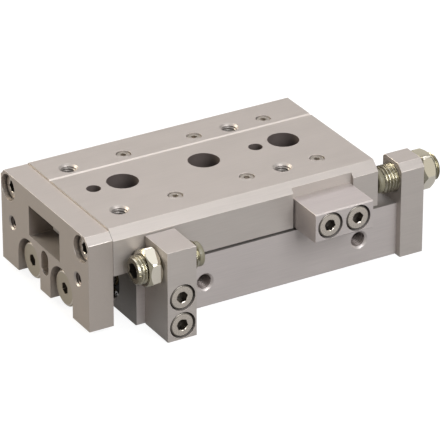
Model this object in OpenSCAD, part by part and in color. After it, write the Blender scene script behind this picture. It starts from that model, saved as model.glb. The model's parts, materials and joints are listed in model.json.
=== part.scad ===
// Pneumatic slide table: twin-rod cylinder body, crossed-roller guide and a sliding
// table with an end plate, side stopper block and two screw-in stroke adjusters.
// Millimetres. X runs along the travel (the end plate faces -X), Y across, Z up.
// The origin is the middle of the body's bottom face. Rest pose: table retracted.

/* [Table] */
// length of the sliding table along the travel
table_l = 81.5; // [78:0.5:90]
// width of the table and of the body
table_w = 50; // [48:0.5:56]
// height of the table, from the lower edge of its side walls to its top
table_h = 12.9; // [12:0.1:16]
// gap between the body's top and the table's lower edge
skirt_gap = 0.8; // [0.5:0.1:1.5]
// 45 degree chamfer along the table's two top edges
table_chamfer = 2.6; // [1:0.1:3.4]
// thickness of the deck over the guide
table_deck = 4.5; // [4.5:0.1:5]
// thickness of each side wall
table_wall = 7.8; // [7.4:0.1:8.4]
// distance the table travels
stroke = 32; // [10:1:32]
// distance from the centreline to the shallow groove along the top
groove_y = 10.2; // [9.4:0.1:11]
// depth of that groove (its walls slope at 45 degrees)
groove_depth = 0.5; // [0.2:0.1:0.8]

/* [Table holes] */
// X of the first mounting thread, from the table's front face
thread_x = 7.8; // [7:0.1:9]
// pitch of the mounting threads and pin holes along X
thread_pitch_x = 50; // [45:1:52]
// pitch of the mounting threads across Y
thread_pitch_y = 28.5; // [27:0.5:29]
// tapping diameter of an M5 thread
m5_tap = 4.2; // [4:0.1:5]
// diameter of the countersink at the mouth of an M5 thread
m5_mouth = 5.4; // [5:0.1:6]
// diameter of the locating pin holes
pin_d = 4; // [3:0.5:5]
// diameter of the driver access holes on the centreline
access_d = 8.8; // [8:0.1:9.2]
// X of the first access hole, from the table's front face
access_x = 16.6; // [16:0.1:17]
// pitch of the access holes
access_pitch = 25; // [24:0.5:25]
// X of the first rail screw, from the table's front face
rail_screw_x = 24.7; // [24:0.1:26]
// pitch of the rail screws
rail_screw_pitch = 22; // [20:0.5:23]

/* [End plate] */
// thickness of the end plate
plate_t = 7.3; // [7:0.1:10]
// how far each end of the plate stops short of the table's side
plate_inset = 0.2; // [0:0.1:2]
// how far the plate's top lies below the table's top
plate_drop = 0.5; // [0:0.1:1]
// height of the plate's lower edge above the body's bottom face
plate_bottom = 1.8; // [1:0.1:3]
// chamfer along the plate's two top edges
plate_chamfer = 1.9; // [1:0.1:3]
// width of the window through the plate
window_w = 17.4; // [12:0.2:20]
// height of the window
window_h = 9; // [6:0.2:9.4]
// how far the window's middle lies below the roller ways
window_drop = 0.4; // [0:0.1:1]
// width of the two rod slots in the plate's face
rod_slot_w = 12.5; // [11.5:0.1:13]
// depth of the wide part of the rod slots
rod_slot_depth = 4.7; // [4:0.1:5.5]
// width of the narrow part of the rod slots
rod_neck_w = 5.4; // [5:0.1:6]
// distance of the plate screws from the table's sides
plate_screw_inset = 4.4; // [4:0.1:5]
// how far the plate screws lie below the table's top
plate_screw_drop = 4.9; // [4.6:0.1:6]
// distance of the plate's mounting threads from the table's sides
plate_thread_inset = 6.4; // [5:0.1:9]
// how far the plate's mounting threads lie below the body's top
plate_thread_drop = 0.9; // [0:0.1:3]
// width of the upright locating slot between the rods
loc_slot_w = 4; // [3:0.5:5]
// length of that slot
loc_slot_l = 7.2; // [6:0.2:9]
// depth of that slot
loc_slot_depth = 4.5; // [3:0.5:6]

/* [Body] */
// gap between the table's front face and the body's front face
body_gap = 6.7; // [6:0.1:9]
// gap between the table's rear face and the rear bracket
rear_gap = 6.2; // [5:0.1:9]
// height of the body
body_h = 15.8; // [15.2:0.1:19]
// diameter of the two cylinder bores
bore_d = 12; // [11:0.5:12]
// distance between the two bores
bore_pitch = 18.4; // [18:0.1:19]
// height of the bore axes
bore_z = 7.5; // [7.2:0.1:8]
// piston rod diameter
rod_d = 6; // [5:0.5:6]
// distance of the front air port from the body's front face
port_front_inset = 20.8; // [19:0.1:21.5]
// distance of the rear air port from the body's rear face
port_rear_inset = 12; // [11:0.1:12.4]
// pitch of the base threads and dowel holes along X
base_pitch_x = 50; // [40:1:52]
// distance of the base threads from the body's sides
base_thread_inset = 5; // [4.4:0.1:5.4]
// width of the sensor groove's mouth
sensor_mouth = 2.8; // [2.5:0.1:3]
// diameter of the sensor groove's round bottom
sensor_d = 4.2; // [4:0.1:4.4]
// how far the sensor groove's middle lies below the body's top
sensor_drop = 4.5; // [4:0.1:4.8]

/* [Guide] */
// width of each table rail
rail_w = 5.7; // [5.4:0.1:6]
// gap between the guide block and the table's deck
guide_gap = 0.6; // [0.4:0.1:1]
// gap between the guide block and the table's rails
way_gap = 1.4; // [1.2:0.1:1.6]
// diameter of the crossed rollers
roller_d = 3; // [2.5:0.1:3]
// distance between neighbouring rollers
roller_pitch = 4.4; // [4:0.1:4.4]
// thickness of the roller cages
cage_t = 0.8; // [0.6:0.1:0.8]
// height of the roller cages
cage_h = 6; // [5.4:0.1:6.2]

/* [Stroke adjusters] */
// thread diameter of the adjuster bolts
bolt_d = 8; // [6:0.5:8]
// width across the flats of the lock nuts
nut_flats = 10; // [9.8:0.1:10.2]
// thickness of the lock nuts
nut_t = 4; // [3:0.5:5]
// X of the front bracket, from the table's front face
front_x = 9.3; // [9:0.1:10]
// thickness of the front bracket along X
front_t = 8.7; // [8:0.1:9]
// how far the front bracket stands out from the body's side
front_reach = 12.2; // [11.8:0.1:14]
// how far the front bracket's top lies below the table's top
front_drop = 3.1; // [2:0.1:4]
// distance of the front bolt's axis from the body's side
front_bolt_y = 5.4; // [5.3:0.1:6]
// how far the front bolt's axis lies below the stopper block's middle
front_bolt_drop = 0.9; // [0:0.1:1.2]
// thickness of the rear bracket along X
rear_t = 7.3; // [7:0.1:9]
// how far the rear bracket stands out past the body's side
rear_reach = 2.1; // [0.5:0.1:4]
// width of the rear bracket
rear_w = 9.5; // [9:0.1:10.5]
// how far the rear bracket's top lies below the table's top
rear_drop = 1.7; // [0:0.1:2]
// distance of the rear bolt's axis inside the body's side
rear_bolt_y = 2.7; // [2.4:0.1:3]
// how far the rear bolt's axis lies below the table's top
rear_bolt_drop = 7; // [6:0.1:7.4]

/* [Stopper block] */
// X of the stopper block, from the table's front face
stop_x = 55.2; // [54:0.2:58]
// length of the stopper block
stop_l = 18; // [16:0.5:18]
// how far the stopper block stands out from the table's side
stop_reach = 10.8; // [10:0.1:12]
// height of the stopper block
stop_h = 8.4; // [7.6:0.1:9]
// depth of the pocket that locates the stopper block
stop_pocket = 1.2; // [0.5:0.1:1.5]
// distance between its two screws
stop_screw_pitch = 8.7; // [8.5:0.1:9.5]

/* [Hidden] */
$fn = 96;
eps = 0.01;
half_w = table_w / 2;
body_l = table_l + rear_gap - body_gap;
mid_x = body_gap + body_l / 2;            // the origin, seen from the table's front face
body_x0 = body_gap;
body_x1 = body_gap + body_l;
table_skirt = body_h + skirt_gap;
table_top = table_skirt + table_h;
cavity_y = half_w - table_wall;
cavity_z = table_top - table_deck;
guide_h = cavity_z - guide_gap - body_h;
rail_face = cavity_y - rail_w;
guide_half = rail_face - way_gap;         // half width of the guide block between its two ways
way_y = guide_half + way_gap / 2;
way_play = 0.03;                          // clearance between a roller and its ways
way_half = (roller_d / 2 + way_play) * sqrt(2);
way_drop = 0.1;
way_z = (body_h + cavity_z) / 2 - way_drop;
rail_inset = 1.5;                         // leaves room for the end stops
end_stop_t = 1;
end_stop_h = 5.2;
rail_x0 = rail_inset;
rail_x1 = table_l - rail_inset;
rail_lift = 0.3;                          // from the table's lower edge to the rails
rail_bevel = 0.6;
rail_screw_y = (rail_face + cavity_y) / 2 - way_drop;
guide_x0 = body_x0 + rail_inset;
guide_x1 = body_x1 - rail_inset;
cage_end = 0.4;
cage_play = 2.4;                          // the cage's spare room at full travel
roller_count = max(3, floor((rail_x1 - guide_x0 - stroke - cage_play) / roller_pitch));
cage_l = roller_pitch * roller_count + 2 * cage_end;
cage_x0 = (guide_x0 + rail_x1) / 2 - cage_l / 2;
rod_y = bore_pitch / 2;
seal_play = 0.05;                         // radial play of seals, rods and pistons
m4_d = 4; m4_head = 7; m4_head_h = 4; m4_cbore = 7.6; m4_hex = 3; m4_tap = 3.3; m4_clear = 4.4;
m3_d = 3; m3_head = 5.5; m3_head_h = 3; m3_cbore = 6; m3_hex = 2.5; m3_clear = 3.3;
m25_d = 2.5; m25_head = 3.9; m25_head_h = 1.8; m25_cbore = 4.2; m25_hex = 1.5;
m2_d = 2; m2_head = 3.4; m2_head_h = 0.9; m2_hex = 1.3;
m25_seat = 2;                           // depth of the rail screws' counterbores
m25_l = 4.8;
m4_l = 9;                                 // shank lengths under the head
m4_long = 10;
m4_mouth = 4.2;
screw_play = 0.05;                        // radial play of a screw in its thread
head_sink = 0.2;                          // how deep the heads sit in their counterbores
plate_head_sink = 1.3;                    // and in the end plate's
port_depth = 5.5;
passage_d = 2.4;
port_front_x = body_x0 + port_front_inset;
port_rear_x = body_x1 - port_rear_inset;
m5_depth = 8;
dowel_depth = 3.5;
piston_l = 11.5;
piston_boss_d = 8;
piston_boss_l = 4.6;
cap_play = 0.9;                           // between the piston's boss and the head cap
cover_inset = 2.3;
cover_x0 = body_x0 + cover_inset;
cover_l = 8.5;
cap_x1 = body_x1 - 2;
cap_l = 6.2;
piston_x0 = cap_x1 - cap_l - cap_play - piston_boss_l - piston_l;
press_play = 0.02;
ring_t = 0.8;
ring_groove = 0.45;
o_ring_d = 1.6;
o_ring_play = 0.05;
o_groove_d = bore_d - 2 * (o_ring_d + o_ring_play) - 0.1;
o_groove_l = 1.9;
cover_groove = 5;
cap_groove = 2;
cap_recess_d = 6;
cap_recess = 1.2;
rod_seal_l = 3;
rod_seal_w = 1.5;
piston_seal_x = 1.8;
piston_seal_l = 2.4;
piston_seal_d = 8.6;
magnet_x = 6.6;
magnet_l = 2.6;
magnet_d = 11;
magnet_in_d = 8.4;
piston_bumper_d = 9.4;
piston_bumper_t = 1;
collar_t = 1.5;
collar_d = 9.5;
rod_head_d = 10.4;
rod_head_h = 3.7;
rod_head_bevel = 0.5;
rod_thread = 12;
guide_seat = 3.6;                         // depth of the guide screws' counterbores
guide_thread = 5.4;
m4_seat = 3.6;                            // height of the mounting screws' seat over the body
guide_screw_step = 0.3;                   // places of the guide screws between the access holes
guide_screw_end = 6.7;
guide_screws_x = [access_x + access_pitch * guide_screw_step, access_x + access_pitch * (1 - guide_screw_step),
  access_x + access_pitch * (1 + guide_screw_step), access_x + access_pitch * (2 - guide_screw_step),
  guide_x1 - guide_screw_end];
guide_end_t = 1;
guide_end_y = 4.5;
guide_end_h = 6;
plate_w = table_w - 2 * plate_inset;
plate_screw_y = half_w - plate_screw_inset;
plate_screw_z = table_top - plate_screw_drop;
plate_thread_y = half_w - plate_thread_inset;
plate_thread_z = body_h - plate_thread_drop;
window_z = way_z - window_drop;
loc_slot_gap = 0.8;                       // between the locating slot and the window
loc_slot_z = window_z - window_h / 2 - loc_slot_gap - loc_slot_l / 2;
front_screw_inset = 4.5;
front_screw_x = front_x + front_screw_inset;
front_screws_z = [4.1, body_h - 3.5];
rear_screws_z = [4.6, body_h - 3.4];
front_h = table_top - front_drop;
rear_h = table_top - rear_drop;
rear_bolt_z = table_top - rear_bolt_drop;
bracket_thread = 7;
stop_lift = 0.1;
bolt_bevel = 0.6;
nut_face = 0.95;                          // circle of the nuts' end faces, as a share of their flats
bumper_t = 1.6;
bumper_gap = 0.4;                         // left between each bumper and what it stops
front_bolt_end = 6.5;                     // how far the bolt's end stands out of the bracket
rear_bolt_end = 2;                        // how far the bolt's end stands out of the nut
body_bevel = 0.42;
sensor_lip = 0.9;                         // between the groove's round bottom and the body's side
sensor_z = body_h - sensor_drop;
front_y = -half_w - front_reach;
front_axis_y = -half_w - front_bolt_y;
front_tip_x = stop_x - stroke - bumper_gap;
rear_y0 = -half_w - rear_reach;
rear_axis_y = -half_w + rear_bolt_y;
rear_screw_y = rear_y0 + rear_w / 2;
stop_y = -half_w - stop_reach;
stop_z = table_skirt + stop_h / 2 + stop_lift;
front_bolt_z = stop_z - front_bolt_drop;
aluminium = [0.74, 0.72, 0.70];
steel = [0.62, 0.61, 0.59];
bright = [0.82, 0.80, 0.74];
dark = [0.16, 0.16, 0.17];
brass = [0.75, 0.62, 0.35];

// helpers: cylinders along X, Y and Z from their lower end, and a section run along X
module xcyl(x, y, z, d, l) { translate([x, y, z]) rotate([0, 90, 0]) cylinder(d = d, h = l); }
module ycyl(x, y, z, d, l) { translate([x, y, z]) rotate([-90, 0, 0]) cylinder(d = d, h = l); }
module zcyl(x, y, z, d, l) { translate([x, y, z]) cylinder(d = d, h = l); }
module along_x(x, l) { translate([x, 0, 0]) rotate([90, 0, 90]) linear_extrude(height = l) children(); }
module box(x0, x1, y0, y1, z0, z1) { translate([x0, y0, z0]) cube([x1 - x0, y1 - y0, z1 - z0]); }
module both() { for (s = [-1, 1]) translate([0, s * rod_y, 0]) children(); }
module hex(flats, h) { cylinder(d = flats / cos(30), h = h, $fn = 6); }
// a cap screw standing on its head's seat at the origin, its shank running down -Z
module cap_screw(d, head, head_h, socket, l) {
  difference() {
    union() { cylinder(d = head, h = head_h); translate([0, 0, -l]) cylinder(d = d, h = l); }
    translate([0, 0, head_h * 0.45]) hex(socket, head_h);
  }
}
// a tapped hole with a countersunk mouth at the origin, running down -Z
module tapped(d, mouth, depth) {
  translate([0, 0, -depth]) cylinder(d = d, h = depth + eps);
  translate([0, 0, -(mouth - d) / 2]) cylinder(d1 = d, d2 = mouth + 2 * eps, h = (mouth - d) / 2 + eps);
}
module ring(d_out, d_in, l) {
  difference() { cylinder(d = d_out, h = l); translate([0, 0, -eps]) cylinder(d = d_in, h = l + 2 * eps); }
}
// the nodes are built with X = 0 on the table's front face and shifted to the origin here
module placed() { translate([-mid_x, 0, 0]) children(); }

// ---------------------------------------------------------------- body, fixed parts
module body_block() color(aluminium) placed() difference() {
  box(body_x0, body_x1, -half_w, half_w, 0, body_h);
  both() xcyl(body_x0 - 1, 0, bore_z, bore_d, body_l + 2);
  both() xcyl(cover_x0 - ring_t - seal_play, 0, bore_z, bore_d + 2 * ring_groove, ring_t + 2 * seal_play);
  both() xcyl(cap_x1 - seal_play, 0, bore_z, bore_d + 2 * ring_groove, ring_t + 2 * seal_play);
  both() translate([body_x0, 0, bore_z]) rotate([0, -90, 0]) tapped(bore_d, bore_d + 1, 1);
  both() translate([body_x1, 0, bore_z]) rotate([0, 90, 0]) tapped(bore_d, bore_d + 1, 1);
  // air ports and the passages that feed both bores
  for (x = [port_front_x, port_rear_x]) {
    translate([x, -half_w, bore_z]) rotate([90, 0, 0]) tapped(m5_tap, m5_mouth, port_depth);
    ycyl(x, -half_w + port_depth - eps, bore_z, passage_d, half_w - port_depth + rod_y - bore_d / 2 + 1);
  }
  // through holes on the centreline for mounting from above
  for (i = [0 : 2]) zcyl(access_x + i * access_pitch, 0, -1, m4_clear, body_h + 2);
  for (x = guide_screws_x) zcyl(x, 0, body_h - guide_thread, m3_d + 2 * screw_play, guide_thread + 1);
  // base threads and dowel holes
  for (x = [-1, 1]) {
    for (y = [-1, 1])
      translate([mid_x + x * base_pitch_x / 2, y * (half_w - base_thread_inset), 0]) rotate([180, 0, 0])
        tapped(m5_tap, m5_mouth, m5_depth);
    zcyl(mid_x + x * base_pitch_x / 2, 0, -1, pin_d, dowel_depth + 1);
  }
  // bracket threads
  for (z = front_screws_z) ycyl(front_screw_x, -half_w - 1, z, m4_d + 2 * screw_play, bracket_thread + 1.2);
  for (z = rear_screws_z) xcyl(body_x1 - bracket_thread, rear_screw_y, z, m4_d + 2 * screw_play, bracket_thread + 1);
  // sensor groove along the far side
  box(body_x0 - 1, body_x1 + 1, half_w - sensor_lip - sensor_d / 2, half_w + 1, sensor_z - sensor_mouth / 2, sensor_z + sensor_mouth / 2);
  xcyl(body_x0 - 1, half_w - sensor_lip - sensor_d / 2, sensor_z, sensor_d, body_l + 2);
  // small chamfers along the two lower edges
  for (y = [-1, 1])
    translate([body_x0 - 1, y * half_w, 0]) rotate([45, 0, 0])
      translate([0, -body_bevel / sqrt(2), -body_bevel / sqrt(2)]) cube([body_l + 2, body_bevel * sqrt(2), body_bevel * sqrt(2)]);
}

module rod_covers() color(brass) placed() both() difference() {
  xcyl(cover_x0, 0, bore_z, bore_d - 2 * press_play, cover_l);
  xcyl(cover_x0 - 1, 0, bore_z, rod_d + 2 * seal_play, cover_l + 2);
  xcyl(cover_x0 - eps, 0, bore_z, rod_d + 2 * rod_seal_w, rod_seal_l + eps);
  translate([cover_x0 + cover_groove, 0, bore_z]) rotate([0, 90, 0]) ring(bore_d + 1, o_groove_d, o_groove_l);
}

module rod_seals() color(dark) placed() both() difference() {
  xcyl(cover_x0 + 2 * seal_play, 0, bore_z, rod_d + 2 * (rod_seal_w - seal_play), rod_seal_l - 4 * seal_play);
  xcyl(cover_x0 - 1, 0, bore_z, rod_d + 2 * seal_play, rod_seal_l + 2);
  // the hollow between the seal's two lips
  translate([cover_x0 + rod_seal_l * 0.6, 0, bore_z]) rotate([0, 90, 0])
    ring(rod_d + rod_seal_w * 1.3, rod_d + rod_seal_w * 0.7, rod_seal_l);
}

module o_ring(x) {
  translate([x, 0, bore_z]) rotate([0, 90, 0]) rotate_extrude() translate([(bore_d - o_ring_d) / 2 - o_ring_play, 0]) circle(d = o_ring_d, $fn = 32);
}
module cover_o_rings() color(dark) placed() both() o_ring(cover_x0 + cover_groove + o_groove_l / 2);

module snap_ring(x) {
  difference() {
    xcyl(x, 0, bore_z, bore_d + 2 * (ring_groove - seal_play), ring_t);
    xcyl(x - 1, 0, bore_z, bore_d - 2 * ring_t, ring_t + 2);
    box(x - 1, x + 2, -1.4, 1.4, bore_z - bore_d, bore_z);
  }
  for (s = [-1, 1]) difference() {
    xcyl(x, s * 2.1, bore_z - bore_d / 2 + 1.3, 1.7, ring_t);
    xcyl(x - 1, s * 2.1, bore_z - bore_d / 2 + 1.3, 0.8, ring_t + 2);
  }
}
module snap_rings() color(steel) placed() both() { snap_ring(cover_x0 - ring_t); snap_ring(cap_x1); }

module head_caps() color(aluminium) placed() both() difference() {
  xcyl(cap_x1 - cap_l, 0, bore_z, bore_d - 2 * press_play, cap_l);
  translate([cap_x1 - cap_l + cap_groove, 0, bore_z]) rotate([0, 90, 0]) ring(bore_d + 1, o_groove_d, o_groove_l);
  xcyl(cap_x1 - cap_recess, 0, bore_z, cap_recess_d, cap_recess + 1);
}
module head_cap_o_rings() color(dark) placed() both() o_ring(cap_x1 - cap_l + cap_groove + o_groove_l / 2);

// ---------------------------------------------------------------- crossed-roller guide
// square channel on its corner, cut along X: two 90 degree V ways face each other in it
module way_cut(s, x, l) {
  along_x(x, l) translate([s * way_y, way_z]) rotate(45) square((roller_d + 2 * way_play), center = true);
}
module guide_block() color(steel) placed() difference() {
  along_x(guide_x0, guide_x1 - guide_x0) polygon([
    [-guide_half, body_h], [guide_half, body_h], [guide_half, body_h + guide_h - rail_bevel],
    [guide_half - rail_bevel, body_h + guide_h], [-guide_half + rail_bevel, body_h + guide_h],
    [-guide_half, body_h + guide_h - rail_bevel]]);
  for (s = [-1, 1]) way_cut(s, guide_x0 - 1, guide_x1 - guide_x0 + 2);
  for (i = [0 : 2]) {
    zcyl(access_x + i * access_pitch, 0, body_h - 1, m4_clear, guide_h + 2);
    zcyl(access_x + i * access_pitch, 0, body_h + m4_seat, m4_cbore, guide_h);
  }
  for (x = guide_screws_x) {
    zcyl(x, 0, body_h - 1, m3_clear, guide_h + 2);
    zcyl(x, 0, body_h + guide_h - guide_seat, m3_cbore, guide_h);
  }
  for (x = [guide_x0 - 1, guide_x1 - 4]) for (s = [-1, 1]) xcyl(x, s * guide_end_y, way_z, m2_d + 2 * screw_play, 5);
}
module guide_screws() color(steel) placed() for (x = guide_screws_x)
  translate([x, 0, body_h + guide_h - guide_seat])
    cap_screw(m3_d, m3_head, m3_head_h, m3_hex, guide_h - guide_seat + guide_thread - 2 * rail_lift);

module guide_end_plate(x) {
  difference() {
    box(x, x + guide_end_t, -guide_half - 0.4, guide_half + 0.4, way_z - guide_end_h / 2, way_z + guide_end_h / 2);
    for (s = [-1, 1]) xcyl(x - 1, s * guide_end_y, way_z, m2_d + 0.3, guide_end_t + 2);
  }
}
module guide_end_plates() color(steel) placed() { guide_end_plate(guide_x0 - guide_end_t); guide_end_plate(guide_x1); }
module guide_end_screws() color(steel) placed() for (s = [-1, 1]) {
  translate([guide_x0 - guide_end_t, s * guide_end_y, way_z]) rotate([0, -90, 0]) cap_screw(m2_d, m2_head, m2_head_h, m2_hex, 4);
  translate([guide_x1 + guide_end_t, s * guide_end_y, way_z]) rotate([0, 90, 0]) cap_screw(m2_d, m2_head, m2_head_h, m2_hex, 4);
}

module table_rails() color(steel) placed() for (s = [-1, 1]) difference() {
  box(rail_x0, rail_x1, min(s * rail_face, s * cavity_y), max(s * rail_face, s * cavity_y),
    table_skirt + rail_lift, cavity_z);
  way_cut(s, rail_x0 - 1, rail_x1 - rail_x0 + 2);
  for (i = [0 : 2])
    zcyl(rail_screw_x + i * rail_screw_pitch, s * rail_screw_y, table_top - m25_seat - m25_l - 0.1,
      m25_d + 2 * screw_play, m25_l);
}
module rail_screws() color(bright) placed() for (s = [-1, 1]) for (i = [0 : 2])
  translate([rail_screw_x + i * rail_screw_pitch, s * rail_screw_y, table_top - m25_seat])
    cap_screw(m25_d, m25_head, m25_head_h, m25_hex, m25_l);

module rail_end_stops() color(steel) placed() for (s = [-1, 1]) for (x = [rail_x0 - end_stop_t, rail_x1]) {
  y0 = way_y + 0.1;
  y1 = cavity_y - 0.2;
  box(x, x + end_stop_t, min(s * y0, s * y1), max(s * y0, s * y1), way_z - end_stop_h / 2, way_z + end_stop_h / 2);
}

module roller_cages() color(brass) placed() for (s = [-1, 1]) difference() {
  box(cage_x0, cage_x0 + cage_l, s * way_y - cage_t / 2, s * way_y + cage_t / 2, way_z - cage_h / 2, way_z + cage_h / 2);
  for (i = [0 : roller_count - 1]) {
    x = cage_x0 + cage_end + (i + 0.5) * roller_pitch;
    box(x - roller_d / 2 - 0.15, x + roller_d / 2 + 0.15, s * way_y - 1, s * way_y + 1, way_z - 2.3, way_z + 2.3);
  }
}
// neighbouring rollers lean opposite ways, so each pair of ways carries load in all directions
module crossed_rollers() color(bright) placed() for (s = [-1, 1]) for (i = [0 : roller_count - 1])
  translate([cage_x0 + cage_end + (i + 0.5) * roller_pitch, s * way_y, way_z])
    rotate([i % 2 == 0 ? 45 : -45, 0, 0]) cylinder(d = roller_d, h = roller_d - 0.1, center = true);

// ---------------------------------------------------------------- sliding table
module table() color(aluminium) placed() difference() {
  along_x(0, table_l) polygon([
    [-half_w, table_skirt], [-half_w, table_top - table_chamfer], [-half_w + table_chamfer, table_top],
    [groove_y - groove_depth, table_top], [groove_y, table_top - groove_depth],
    [groove_y + groove_depth, table_top], [half_w - table_chamfer, table_top],
    [half_w, table_top - table_chamfer], [half_w, table_skirt], [cavity_y, table_skirt],
    [cavity_y, cavity_z], [-cavity_y, cavity_z], [-cavity_y, table_skirt]]);
  for (i = [0 : 1]) {
    for (s = [-1, 1]) translate([thread_x + i * thread_pitch_x, s * thread_pitch_y / 2, table_top])
      tapped(m5_tap, m5_mouth, table_deck + 1);
    zcyl(thread_x + i * thread_pitch_x, 0, cavity_z - 1, pin_d, table_deck + 2);
  }
  for (i = [0 : 2]) zcyl(access_x + i * access_pitch, 0, cavity_z - 1, access_d, table_deck + 2);
  for (i = [0 : 2]) for (s = [-1, 1]) {
    zcyl(rail_screw_x + i * rail_screw_pitch, s * rail_screw_y, cavity_z - 1, m25_d + 0.4, table_deck + 2);
    zcyl(rail_screw_x + i * rail_screw_pitch, s * rail_screw_y, table_top - m25_seat, m25_cbore, m25_seat + 1);
  }
  // pocket and threads for the stopper block
  box(stop_x - 0.4, stop_x + stop_l + 0.4, -half_w - 1, -half_w + stop_pocket, table_skirt - 1, table_top + 1);
  for (s = [-1, 1])
    ycyl(stop_x + stop_l / 2 + s * stop_screw_pitch / 2, -half_w - 1, stop_z, m4_d + 2 * screw_play, table_wall + 0.6);
  // threads for the end plate
  for (s = [-1, 1]) xcyl(-1, s * plate_screw_y, plate_screw_z, m4_d + 2 * screw_play, m4_long);
}

module rod_slot(x0, x1, w) {
  along_x(x0, x1 - x0) { translate([0, bore_z]) circle(d = w); translate([-w / 2, plate_bottom - 1]) square([w, bore_z - plate_bottom + 1]); }
}
module end_plate() color(aluminium) placed() {
  top = table_top - plate_drop;
  hw = plate_w / 2;
  difference() {
    along_x(-plate_t, plate_t) polygon([
      [-hw, plate_bottom], [-hw, top - plate_chamfer], [-hw + plate_chamfer, top],
      [hw - plate_chamfer, top], [hw, top - plate_chamfer], [hw, plate_bottom]]);
    box(-plate_t - 1, 1, -window_w / 2, window_w / 2, window_z - window_h / 2, window_z + window_h / 2);
    both() rod_slot(-plate_t - 1, -plate_t + rod_slot_depth, rod_slot_w);
    both() rod_slot(-plate_t, 1, rod_neck_w);
    for (s = [-1, 1]) {
      xcyl(-plate_t - 1, s * plate_screw_y, plate_screw_z, m4_clear, plate_t + 2);
      xcyl(-plate_t - 1, s * plate_screw_y, plate_screw_z, m4_cbore, 1 + m4_head_h + plate_head_sink);
      translate([-plate_t, s * plate_thread_y, plate_thread_z]) rotate([0, -90, 0]) tapped(m4_tap, m4_mouth, plate_t + 1);
    }
    // locating slot between the rods
    along_x(-plate_t - 1, loc_slot_depth + 1) {
      for (s = [-1, 1]) translate([0, loc_slot_z + s * (loc_slot_l - loc_slot_w) / 2]) circle(d = loc_slot_w);
      translate([0, loc_slot_z]) square([loc_slot_w, loc_slot_l - loc_slot_w], center = true);
    }
  }
}
module plate_screws() color(steel) placed() for (s = [-1, 1])
  translate([-plate_t + m4_head_h + plate_head_sink, s * plate_screw_y, plate_screw_z]) rotate([0, -90, 0])
    cap_screw(m4_d, m4_head, m4_head_h, m4_hex, m4_long);

module rod_end_bolts() color(steel) placed() both() translate([-plate_t + rod_slot_depth, 0, bore_z]) rotate([0, -90, 0]) {
  difference() {
    union() {
      cylinder(d = rod_head_d, h = rod_head_h - rod_head_bevel);
      translate([0, 0, rod_head_h - rod_head_bevel])
        cylinder(d1 = rod_head_d, d2 = rod_head_d - 2 * rod_head_bevel, h = rod_head_bevel);
      translate([0, 0, -rod_thread]) cylinder(d = m4_d, h = rod_thread);
    }
    translate([0, 0, rod_head_h * 0.43]) hex(m4_hex, m4_head_h);
  }
}
module rod_collars() color(steel) placed() both() translate([0, 0, bore_z]) rotate([0, 90, 0]) ring(collar_d, m4_d + 0.2, collar_t);

module piston_rods() color(bright) placed() both() difference() {
  union() {
    xcyl(collar_t, 0, bore_z, rod_d, piston_x0 - collar_t);
    xcyl(piston_x0 - eps, 0, bore_z, m4_d, piston_l - 2);
  }
  xcyl(collar_t - 1, 0, bore_z, m4_d + 2 * screw_play, rod_thread);
}
module pistons() color(aluminium) placed() both() difference() {
  union() {
    xcyl(piston_x0, 0, bore_z, bore_d - 4 * seal_play, piston_l);
    xcyl(piston_x0 + piston_l - eps, 0, bore_z, piston_boss_d, piston_boss_l);
  }
  xcyl(piston_x0 - 1, 0, bore_z, m4_d + 0.1, piston_l);
  translate([piston_x0 + piston_seal_x, 0, bore_z]) rotate([0, 90, 0]) ring(bore_d + 1, piston_seal_d, piston_seal_l);
  translate([piston_x0 + magnet_x, 0, bore_z]) rotate([0, 90, 0]) ring(bore_d + 1, magnet_in_d, magnet_l);
}
module piston_seals() color(dark) placed() both()
  translate([piston_x0 + piston_seal_x + 2 * seal_play, 0, bore_z]) rotate([0, 90, 0]) difference() {
    ring(bore_d - 2 * seal_play, piston_seal_d, piston_seal_l - 4 * seal_play);
    // groove between the seal's two lips
    translate([0, 0, piston_seal_l * 0.3]) ring(bore_d, bore_d - piston_seal_l / 3, piston_seal_l / 3);
  }
module piston_magnets() color(dark) placed() both()
  translate([piston_x0 + magnet_x + seal_play, 0, bore_z]) rotate([0, 90, 0]) ring(magnet_d, magnet_in_d, magnet_l - 2 * seal_play);
module piston_bumpers() color(dark) placed() both()
  translate([piston_x0 - piston_bumper_t, 0, bore_z]) rotate([0, 90, 0]) ring(piston_bumper_d, rod_d, piston_bumper_t);

module stopper_block() color(aluminium) placed() difference() {
  y1 = -half_w + stop_pocket;
  z0 = table_skirt + stop_lift;
  along = [stop_x, stop_x + stop_l];
  box(along[0], along[1], stop_y, y1, z0, z0 + stop_h);
  // light chamfers round the outer face
  for (z = [z0, z0 + stop_h]) translate([along[0] - 1, stop_y, z]) rotate([45, 0, 0]) translate([0, -0.2, -0.2]) cube([stop_l + 2, 0.4, 0.4]);
  for (s = [-1, 1]) {
    x = stop_x + stop_l / 2 + s * stop_screw_pitch / 2;
    ycyl(x, stop_y - 1, stop_z, m4_clear, stop_reach + 4);
    ycyl(x, stop_y - 1, stop_z, m4_cbore, 1 + m4_head_h + head_sink);
  }
}
module stopper_screws() color(steel) placed() for (s = [-1, 1])
  translate([stop_x + stop_l / 2 + s * stop_screw_pitch / 2, stop_y + m4_head_h + head_sink, stop_z]) rotate([90, 0, 0])
    cap_screw(m4_d, m4_head, m4_head_h, m4_hex, stop_reach - m4_head_h - head_sink + table_wall - 1);

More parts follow.
